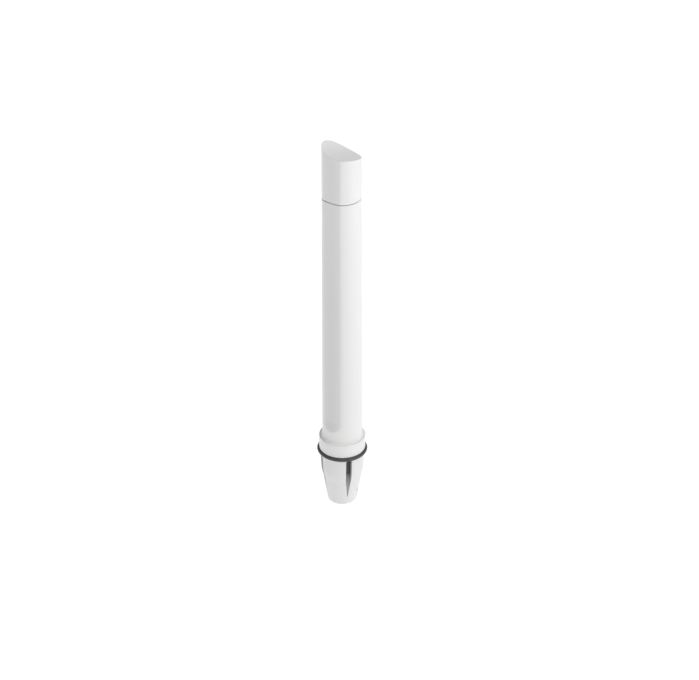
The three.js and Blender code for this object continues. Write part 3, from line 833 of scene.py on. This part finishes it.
@dataclass
class TopCap:
    """The cap with its scooped top.

    Attributes:
        pole: The section that it shares with the radome.
        scoop_radius: The radius of the cylinder that scoops the top, in millimetres.
        scoop_x: The place of that cylinder's lowest line.
        scoop_low: The height of that line on the axis.
        tilt: How steeply that line rises towards the facet.
        rim: The rounding of the top edge.
        skirt_wall: The thickness of the skirt inside the radome.
        clearance: The gap between skirt and radome.
    """

    pole: Pole
    scoop_radius: float = 52.1
    scoop_x: float = 11.5
    scoop_low: float = 473.5
    tilt: float = math.atan(0.1934)
    rim: float = 0.5
    skirt_wall: float = 2.0
    clearance: float = 2.7

    def scoop(self, x: float, y: float) -> float:
        """The height of the scooped top over a point, all in millimetres."""
        sag = self.scoop_radius - math.sqrt(self.scoop_radius ** 2 - (x - self.scoop_x) ** 2)
        return self.scoop_low + sag / math.cos(self.tilt) - y * math.tan(self.tilt)

    def build(self) -> bpy.types.Object:
        """Make and dress the cap.

        Returns:
            The cap's object.
        """
        low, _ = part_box("top_cap")
        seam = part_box("cap_gasket")[1].z / MM + 0.2
        skirt_foot = low.z / MM
        radius = self.pole.top_radius
        skirt = radius - self.clearance
        bore = skirt - self.skirt_wall
        flat_top = self.scoop_low
        roof = flat_top - 8
        walls = rounded([
            (bore, skirt_foot, 0.3), (skirt, skirt_foot, 0.5), (skirt, seam, 0),
            (radius, seam, 0.3), (radius, seam + 4, 0),
        ], closed=False)
        side = stations(seam + 4, flat_top - self.rim - 0.5, 3)[1:]
        walls += [(radius * MM, z * MM) for z in side]
        edge = rounded([
            (radius, flat_top - self.rim - 0.2, 0), (radius, flat_top, self.rim),
            (radius - 1.5 * self.rim, flat_top, 0),
        ], closed=False, turn=9)
        top = [(r * MM, flat_top * MM) for r in stations(radius - 1.5 * self.rim, 0, 0.7)[1:]]
        ceiling = [(0, roof * MM), (bore * MM, roof * MM)]
        mesh = spun(walls + edge + top + ceiling, 360)

        def inset(distance: float, height: float) -> float:
            """How far the skirt and its bore lie inside the outside."""
            inside = height < seam - 0.05 or (distance < bore + 0.05 and height < roof + 0.05)
            return max(radius - distance, 0) if inside else 0

        self.pole.flatten(mesh, inset)
        start = seam + 8
        for vert in mesh.verts:
            height = vert.co.z / MM
            if height < start or (height <= roof + 0.05 and vert.co.xy.length < (bore + 0.05) * MM):
                continue
            share = min((height - start) / (flat_top - self.rim - start), 1)
            rise = self.scoop(vert.co.x / MM, vert.co.y / MM) - flat_top
            vert.co.z += share * rise * MM
        return dressed(made(mesh, "scooped_cap"), SHELL, "antenna", "top_cap")


@dataclass
class SeamGasket:
    """The thin set-back gasket that shows as the seam under the cap.

    Attributes:
        pole: The section that it follows.
        recess: How far it is set back from the outside, in millimetres.
        wall: The wall that it lies between.
    """

    pole: Pole
    recess: float = 0.6
    wall: float = 2.4

    def build(self) -> bpy.types.Object:
        """Make and dress the gasket.

        Returns:
            The gasket's object.
        """
        low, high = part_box("cap_gasket")
        outer = self.pole.top_radius - self.recess
        inner = self.pole.top_radius - self.wall
        section = rounded([
            (inner, low.z / MM, 0), (outer, low.z / MM, 0.2), (outer, high.z / MM, 0.2),
            (inner, high.z / MM, 0),
        ])
        mesh = spun(section, 360)
        self.pole.flatten(mesh, lambda radius, _: max(self.pole.top_radius - radius, 0))
        return dressed(made(mesh, "seam_gasket"), GREY_RUBBER, "antenna", "cap_gasket")


# ---- base ---------------------------------------------------------------------------------


@dataclass
class CollarGasket:
    """The black gasket between collar and ferrule: a flat web with a round bead outside.

    Attributes:
        web: The web's thickness, in millimetres.
        bead: The bead's radius.
        flash: The height of the parting line round the bead.
        inner: The web's inner radius.
        margin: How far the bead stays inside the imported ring.
    """

    web: float = 4.2
    bead: float = 2.25
    flash: float = 0.1
    inner: float = 22.0
    margin: float = 0.01

    def build(self) -> bpy.types.Object:
        """Make and dress the gasket.

        Returns:
            The gasket's object.
        """
        low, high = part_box("gasket_ring")
        outer = high.x / MM - self.margin
        height = (low.z + high.z) / 2 / MM
        centre = outer - self.flash - self.bead
        half = self.web / 2
        start = math.asin(half / self.bead)
        bead = []
        for angle in stations(start - math.pi, math.pi - start, 0.16):
            raised = self.flash if abs(angle) < 0.07 else 0
            reach = self.bead + raised
            bead.append(((centre + reach * math.cos(angle)) * MM,
                         (height + reach * math.sin(angle)) * MM))
        inner = self.inner * MM
        section = [(inner, (height - half) * MM), *bead, (inner, (height + half) * MM)]
        mesh = spun(section)
        return dressed(made(mesh, "collar_gasket", 50), BLACK_RUBBER, "antenna", "gasket_ring")


@dataclass
class LockHole:
    """The radial hole of the lock screw, through ferrule, core and bush.

    Attributes:
        azimuth: Its azimuth, in degrees.
        radius: Its radius, in millimetres.
        start: How far from the axis it starts.
        stop: How far from the axis it ends.
    """

    azimuth: float = 100.8
    radius: float = 1.9
    start: float = 10.0
    stop: float = 27.0

    def tool(self) -> bpy.types.Object:
        """The closed mesh that drills it."""
        low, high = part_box("lock_screw")
        drill = rod(self.radius, self.stop - self.start, 48)
        tip = Matrix.Rotation(math.radians(90), 3, "Y")
        bmesh.ops.rotate(drill, cent=(0, 0, 0), matrix=tip, verts=drill.verts)
        middle = (self.start + self.stop) / 2
        bmesh.ops.translate(drill, vec=(middle * MM, 0, (low.z + high.z) / 2), verts=drill.verts)
        towards(drill, self.azimuth)
        return made(drill, "lock_hole_tool")


@dataclass
class Ferrule:
    """The tapered white shell with its four pointed slots.

    Attributes:
        end_radius: The radius of the lower end, in millimetres.
        waist: The height where the taper steepens.
        waist_radius: The radius there.
        taper_top: The height where the taper meets the band.
        band_radius: The band's radius there.
        rim_radius: The band's radius under the rim's lip.
        lip: How far the lip stands out.
        lip_height: The lip's height.
        socket: The radius of the room for the base plug.
        socket_foot: The height where that room starts to narrow.
        shelf: The height of the shelf that the core rests on.
        shelf_radius: The room's radius at the shelf.
        seat: The radius of the bush's seat.
        slot_azimuth: The azimuth of the first slot, in degrees.
        slots: The number of slots.
        slot_edge: Half the slot's width at a height, from the rim down to its tip.
    """

    end_radius: float = 17.9
    waist: float = 36.0
    waist_radius: float = 23.6
    taper_top: float = 47.0
    band_radius: float = 26.2
    rim_radius: float = 27.1
    lip: float = 1.2
    lip_height: float = 2.4
    socket: float = 21.6
    socket_foot: float = 37.0
    shelf: float = 8.0
    shelf_radius: float = 17.5
    seat: float = 15.4
    slot_azimuth: float = 53.5
    slots: int = 4
    slot_edge: tuple[Point, ...] = ((3.8, 77), (3.8, 45), (3, 35), (2, 28), (1.15, 21),
                                    (0.6, 16), (0, 10))

    def body(self) -> bmesh.types.BMesh:
        """The shell without its cuts."""
        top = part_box("mount_ferrule")[1].z / MM
        lip_low = top - self.lip_height
        outline = rounded([
            (self.seat, 0, 0.3),
            (self.end_radius, 0, 0.9),
            (self.waist_radius, self.waist, 30),
            (self.band_radius, self.taper_top, 30),
            (self.rim_radius, lip_low, 0.3),
            (self.rim_radius + self.lip, lip_low, 0.3),
            (self.rim_radius + self.lip, top, 0.8),
            (self.socket, top, 0.5),
            (self.socket, self.socket_foot, 20),
            (self.shelf_radius, self.shelf, 0.3),
            (self.seat, self.shelf, 0.3),
        ], turn=9)
        return spun(outline)

    def slot(self, azimuth: float) -> bpy.types.Object:
        """The tool that cuts one slot.

        Args:
            azimuth: The slot's azimuth, in degrees.

        Returns:
            A closed mesh that lies across the wall.
        """
        edge = softened(self.slot_edge)
        ring = edge + [(-half, z) for half, z in reversed(edge[:-1])]
        tool = bmesh.new()
        inner = self.end_radius - 2
        tool.faces.new([tool.verts.new((inner * MM, half * MM, z * MM)) for half, z in ring])
        grown = bmesh.ops.extrude_face_region(tool, geom=list(tool.faces))
        lifted = [v for v in grown["geom"] if isinstance(v, bmesh.types.BMVert)]
        bmesh.ops.translate(tool, vec=(20 * MM, 0, 0), verts=lifted)
        bmesh.ops.recalc_face_normals(tool, faces=tool.faces)
        towards(tool, azimuth)
        return made(tool, f"slot_tool_{round(azimuth)}")

    def build(self) -> bpy.types.Object:
        """Make, cut and dress the shell.

        Returns:
            The ferrule's object.
        """
        shell = made(self.body(), "slotted_ferrule")
        azimuths = [self.slot_azimuth + 360 / self.slots * i for i in range(self.slots)]
        carved(shell, [self.slot(azimuth) for azimuth in azimuths] + [LockHole().tool()])
        return dressed(shell, FERRULE, "mount", "mount_ferrule")


@dataclass
class FerruleCore:
    """The cup inside the ferrule, whose dark grey is painted shade seen through the slots.

    Attributes:
        foot_radius: The radius at its foot, in millimetres.
        cup: The cup's inner radius.
        web_low: The height of the web's underside.
        web_high: The height of its upper side.
        neck: The radius of the hole in the web.
        seat: The radius of the bush's seat.
    """

    foot_radius: float = 17.2
    cup: float = 18.4
    web_low: float = 33.6
    web_high: float = 37.0
    neck: float = 13.1
    seat: float = 15.4

    def build(self) -> bpy.types.Object:
        """Make, cut and dress the cup.

        Returns:
            The core's object.
        """
        low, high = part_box("ferrule_core")
        outline = rounded([
            (self.seat, low.z / MM, 0.3),
            (self.foot_radius, low.z / MM, 0.4),
            (high.x / MM, self.web_high, 20),
            (high.x / MM, high.z / MM, 0.6),
            (self.cup, high.z / MM, 0.6),
            (self.cup, self.web_high, 0.8),
            (self.neck, self.web_high, 0.3),
            (self.neck, self.web_low, 0.3),
            (self.seat, self.web_low, 0.3),
        ])
        core = carved(made(spun(outline), "ferrule_cup"), [LockHole().tool()])
        # Its finish is painted shade for the slots, darkest high up.
        return dressed(core, GREY_SLOT_SHADE, "mount", "ferrule_core")


@dataclass
class ThreadBush:
    """The stainless bush with its helical pipe-rail thread.

    Attributes:
        minor: The radius of the thread's crest, in millimetres.
        major: The radius of its root.
        pitch: The thread's pitch.
        turns: The number of turns.
    """

    minor: float = 11.85
    major: float = 12.65
    pitch: float = 25.4 / 14
    turns: float = 13.6

    def build(self) -> bpy.types.Object:
        """Make, cut and dress the bush.

        Returns:
            The bush's object.
        """
        low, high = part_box("thread_bush")
        outer = high.x / MM
        top = high.z / MM
        mesh = spun(rounded([
            (self.major, low.z / MM, 0.4), (outer, low.z / MM, 0.4), (outer, top, 0.4),
            (self.major, top, 0.4),
        ]))
        foot = (top - self.turns * self.pitch) / 2
        threaded(mesh, self.major + 0.15, self.minor, self.pitch, foot, self.turns, 64)
        bush = carved(made(mesh, "rail_bush"), [LockHole().tool()], merges=True)
        return dressed(bush, STAINLESS, "mount", "thread_bush")


@dataclass
class LockScrew:
    """The grub screw with its hexagon socket.

    Attributes:
        root: The radius of the thread's root, in millimetres.
        tip: The tip's distance from the axis.
        pitch: The thread's pitch.
        socket: The socket's corner radius.
        depth: The socket's depth.
        length: The screw's length.
    """

    root: float = 1.16
    tip: float = 13.6
    pitch: float = 0.5
    socket: float = 0.87
    depth: float = 1.6
    length: float = 5.0

    def build(self) -> bpy.types.Object:
        """Make, cut and dress the screw.

        Returns:
            The screw's object.
        """
        low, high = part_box("lock_screw")
        crest = (high.z - low.z) / 2 / MM
        mesh = spun(rounded([
            (0, 0, 0), (0.6, 0, 0.15), (self.root, 0.6, 0.1), (self.root, self.length - 0.2, 0.05),
            (self.root - 0.18, self.length, 0.05), (0, self.length, 0),
        ], closed=False), FINE_STEPS, closed=False)
        turns = (self.length - 1.1) / self.pitch
        threaded(mesh, self.root - 0.04, crest, self.pitch, 0.65, turns, 32)
        hexagon = rod(self.socket, 2 * self.depth, 6)
        bmesh.ops.translate(hexagon, vec=(0, 0, self.length * MM), verts=hexagon.verts)
        screw = carved(made(mesh, "grub_screw"), [made(hexagon, "hexagon_tool")], merges=True)
        place = (Matrix.Translation((0, 0, (low.z + high.z) / 2))
                 @ Matrix.Rotation(math.radians(LockHole.azimuth - 90), 4, "Z")
                 @ Matrix.Translation((self.tip * MM, 0, 0))
                 @ Matrix.Rotation(math.radians(90), 4, "Y"))
        screw.data.transform(place)
        return dressed(screw, BLACK_STEEL, "lock", "lock_screw")


@dataclass
class BasePlug:
    """The black plug that closes the radome and carries the socket.

    Attributes:
        radius: The radius inside the collar, in millimetres.
        spigot: The spigot's radius below it.
        spigot_foot: The height of the spigot's foot.
        step: The radius of the step below the spigot.
        step_foot: The height of that step's foot.
        neck: The neck's radius.
        clip_groove: The radius of the clip's groove.
        seal_groove: The radius of the seals' grooves.
        seals: The heights of the two seals.
        cavity: The radius of the hollow above.
        panel: The heights of the panel that the socket is bolted to.
        nut_pocket: The radius of the pocket round the nut.
        flange_pocket: The radius of the pocket round the flange.
        shank_hole: The radius of the hole in the panel.
    """

    radius: float = 20.95
    spigot: float = 21.2
    spigot_foot: float = 48.4
    step: float = 18.1
    step_foot: float = 37.4
    neck: float = 12.8
    clip_groove: float = 11.6
    seal_groove: float = 18.55
    seals: tuple[float, float] = (84.0, 92.0)
    cavity: float = 18.0
    panel: tuple[float, float] = (33.5, 37.0)
    nut_pocket: float = 9.8
    flange_pocket: float = 10.2
    shank_hole: float = 6.5

    def build(self) -> bpy.types.Object:
        """Make and dress the plug.

        Returns:
            The plug's object.
        """
        low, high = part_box("base_plug")
        foot, top = low.z / MM, high.z / MM
        clip_low, clip_high = (side.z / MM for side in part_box("retaining_clip"))
        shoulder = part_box("radome_tube")[0].z / MM - 0.3
        floor, ceiling = self.panel
        grooves = [corner for z in self.seals for corner in (
            (self.radius, z - 1.3, 0.15), (self.seal_groove, z - 1.3, 0.2),
            (self.seal_groove, z + 1.3, 0.2), (self.radius, z + 1.3, 0.15))]
        outline = rounded([
            (self.flange_pocket, foot, 0.3), (self.neck, foot, 0.5),
            (self.neck, clip_low - 0.15, 0.1), (self.clip_groove, clip_low - 0.15, 0.1),
            (self.clip_groove, clip_high + 0.15, 0.1), (self.neck, clip_high + 0.15, 0.1),
            (self.neck, self.step_foot, 0.6), (self.step, self.step_foot, 0.5),
            (self.step, self.spigot_foot, 0.5), (self.spigot, self.spigot_foot, 0.6),
            (self.spigot, shoulder, 0.1), (self.radius, shoulder, 0),
            *grooves,
            (self.radius, top, 0.8), (self.cavity, top, 0.3), (self.cavity, ceiling + 7, 0.6),
            (self.nut_pocket, ceiling + 7, 0.3), (self.nut_pocket, ceiling, 0.3),
            (self.shank_hole, ceiling, 0), (self.shank_hole, floor, 0),
            (self.flange_pocket, floor, 0.3),
        ], turn=18)
        return dressed(made(spun(outline, 192), "closing_plug"), BLACK_PLASTIC, "antenna",
                       "base_plug")


@dataclass
class CoaxSocket:
    """The bulkhead socket's nickel-plated body with its helical thread.

    Attributes:
        barrel: The barrel's radius over the thread's crest, in millimetres.
        root: The radius of the thread's root.
        pitch: The thread's pitch.
        turns: The number of turns.
        bore: The mouth's radius.
        rear_bore: The radius of the insulator's seat.
        step: The height where the bore changes.
        flange_foot: The height of the flange's front.
        flange_top: The height of its back.
        shank: The shank's radius.
        collar_foot: The height where the plain collar behind the thread starts.
    """

    barrel: float = 7.9
    root: float = 7.3
    pitch: float = 25.4 / 24
    turns: float = 12.5
    bore: float = 4.3
    rear_bore: float = 4.4
    step: float = 24.0
    flange_foot: float = 29.9
    flange_top: float = 32.2
    shank: float = 6.2
    collar_foot: float = 27.9

    def build(self) -> bpy.types.Object:
        """Make and dress the socket's body.

        Returns:
            The body's object.
        """
        low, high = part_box("socket_body")
        mouth, rear, flange = low.z / MM, high.z / MM, high.x / MM
        outline = rounded([
            (self.bore, mouth, 0.3), (self.root, mouth, 0.5),
            (self.root, self.collar_foot, 0.2), (self.barrel, self.collar_foot, 0.2),
            (self.barrel, self.flange_foot, 0.2), (flange, self.flange_foot, 0.3),
            (flange, self.flange_top, 0.3), (self.shank, self.flange_top, 0.1),
            (self.shank, rear, 0.4),
            (self.rear_bore, rear, 0.2), (self.rear_bore, self.step, 0), (self.bore, self.step, 0),
        ])
        mesh = spun(outline, FINE_STEPS)
        threaded(mesh, self.root - 0.06, self.barrel, self.pitch, mouth + 1, self.turns)
        return dressed(made(mesh, "bulkhead_socket"), NICKEL, "antenna", "socket_body")


@dataclass
class Innards:
    """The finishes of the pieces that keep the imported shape, most of them out of sight.

    Attributes:
        finishes: The finish of each node.
    """

    finishes: dict[str, Finish] = field(default_factory=lambda: {
        "plug_seal_lower": BLACK_RUBBER, "plug_seal_upper": BLACK_RUBBER,
        "socket_gasket": BLACK_RUBBER, "thrust_washer": FLUOROPOLYMER,
        "socket_insulator": FLUOROPOLYMER, "retaining_clip": STAINLESS,
        "socket_lock_washer": STAINLESS, "board_screw_left": STAINLESS,
        "board_screw_right": STAINLESS, "socket_nut": NICKEL, "socket_contact": GILT,
        "radiator_board": LAMINATE, "lower_dipole_bottom_arm": COPPER,
        "lower_dipole_top_arm": COPPER, "upper_dipole_bottom_arm": COPPER,
        "upper_dipole_top_arm": COPPER, "feed_strip": COPPER, "feed_coax": COAX_JACKET,
        "ferrite_choke": FERRITE, "board_foot": BLACK_PLASTIC, "foam_spacer_low": FOAM,
        "foam_spacer_middle": FOAM, "foam_spacer_high": FOAM, "top_damper": FOAM,
    })

    def build(self, nodes: dict[str, bpy.types.Object]) -> None:
        """Dress the nodes.

        Args:
            nodes: The frame's nodes by name.
        """
        for name, finish in self.finishes.items():
            node = nodes[name]
            node.data.materials.clear()
            node.data.materials.append(finish.material())
            LOG.info("%s: %s", name, finish.name)


# ---- studio -------------------------------------------------------------------------------


@dataclass
class Studio:
    """The pale floor, the soft light and the camera.

    Attributes:
        azimuth: The camera's azimuth, in degrees.
        elevation: Its elevation, in degrees.
        distance: Its distance from the point that it looks at, in millimetres.
        aim: The height of that point.
        aside: How far the camera stands to the right of the pole.
        focal: The lens, in millimetres on a 36 mm sensor.
        zenith: The brightness of the sky overhead, where the horizon's is about 1.
    """

    azimuth: float = 35.0
    elevation: float = 31.0
    distance: float = 2280.0
    aim: float = 229.65
    aside: float = 8.99
    focal: float = 97.854
    zenith: float = 0.165

    def stood(self, thing: bpy.types.Object, azimuth: float, elevation: float, distance: float
              ) -> None:
        """Put a camera or a lamp in the scene so that it faces the antenna.

        Args:
            thing: The camera or the lamp.
            azimuth: Its azimuth, in degrees.
            elevation: Its elevation, in degrees.
            distance: Its distance from the point that it faces, in metres.
        """
        tilt = math.radians(elevation)
        height = self.aim * MM + distance * math.sin(tilt)
        thing.location = at_azimuth(azimuth, distance * math.cos(tilt), height)
        thing.rotation_euler = (math.radians(90) - tilt, 0, math.radians(azimuth))
        bpy.context.scene.collection.objects.link(thing)

    def camera(self) -> None:
        """Create the camera and make it the scene's."""
        data = bpy.data.cameras.new("camera")
        data.lens = self.focal
        data.sensor_width = 36
        data.clip_end = 100
        camera = bpy.data.objects.new("camera", data)
        self.stood(camera, self.azimuth, self.elevation, self.distance * MM)
        camera.location += at_azimuth(self.azimuth + 90, self.aside * MM, 0)
        bpy.context.scene.camera = camera

    def floor(self) -> None:
        """Lay the pale floor."""
        mesh = bmesh.new()
        bmesh.ops.create_grid(mesh, x_segments=1, y_segments=1, size=40)
        floor = made(mesh, "floor")
        sheet = NodeSheet("pale_floor")
        values = {"Base Color": (0.2, 0.2, 0.2, 1), "Roughness": 1, "Specular IOR Level": 0,
                  "Emission Color": (1, 1, 1, 1), "Emission Strength": 0.93}
        for socket, value in values.items():
            sheet.shader.inputs[socket].default_value = value
        floor.data.materials.append(sheet.material)

    def lamp(self, name: str, azimuth: float, elevation: float, distance: float, size: float,
             power: float) -> None:
        """Hang one soft lamp that faces the antenna.

        Args:
            name: The lamp's name.
            azimuth: Its azimuth, in degrees.
            elevation: Its elevation, in degrees.
            distance: Its distance from the antenna, in metres.
            size: The side of its square, in metres.
            power: Its power, in watts.
        """
        data = bpy.data.lights.new(name, "AREA")
        data.size = size
        data.energy = power
        lamp = bpy.data.objects.new(name, data)
        self.stood(lamp, azimuth, elevation, distance)

    def light(self) -> None:
        """Set the sky and hang the lamps."""
        bpy.context.scene.world = self.sky()
        bpy.context.scene.view_settings.view_transform = "Standard"
        self.lamp("key_lamp", self.azimuth + 62, 50, 3.2, 2.6, 61)
        self.lamp("fill_lamp", self.azimuth - 105, 60, 3.2, 2.6, 12)

    def sky(self) -> bpy.types.World:
        """A sky that is white round the horizon and dim overhead.

        Returns:
            The world.
        """
        world = bpy.data.worlds.new("sky")
        world.use_nodes = True
        tree = world.node_tree
        place = tree.nodes.new("ShaderNodeTexCoord")
        parts = tree.nodes.new("ShaderNodeSeparateXYZ")
        fade = tree.nodes.new("ShaderNodeMapRange")
        values = {"From Min": 0.17, "From Max": 0.35, "To Min": 1.02, "To Max": self.zenith}
        for socket, value in values.items():
            fade.inputs[socket].default_value = value
        background = tree.nodes["Background"]
        background.inputs["Color"].default_value = (1, 1, 1, 1)
        tree.links.new(place.outputs["Generated"], parts.inputs[0])
        tree.links.new(parts.outputs["Z"], fade.inputs["Value"])
        tree.links.new(fade.outputs[0], background.inputs["Strength"])
        return world

    def build(self) -> None:
        """Set up camera, floor and light."""
        self.camera()
        self.floor()
        self.light()
        LOG.info("studio ready")


def main() -> None:
    """Load the frame and build every piece in order."""
    logging.basicConfig(level=logging.INFO, format="%(name)s %(message)s")
    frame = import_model()
    Studio().build()
    pole = Pole()
    Radome(pole).build()
    TopCap(pole).build()
    SeamGasket(pole).build()
    CollarGasket().build()
    Ferrule().build()
    FerruleCore().build()
    ThreadBush().build()
    LockScrew().build()
    BasePlug().build()
    CoaxSocket().build()
    Innards().build(frame["nodes"])


if __name__ == "__main__":
    main()
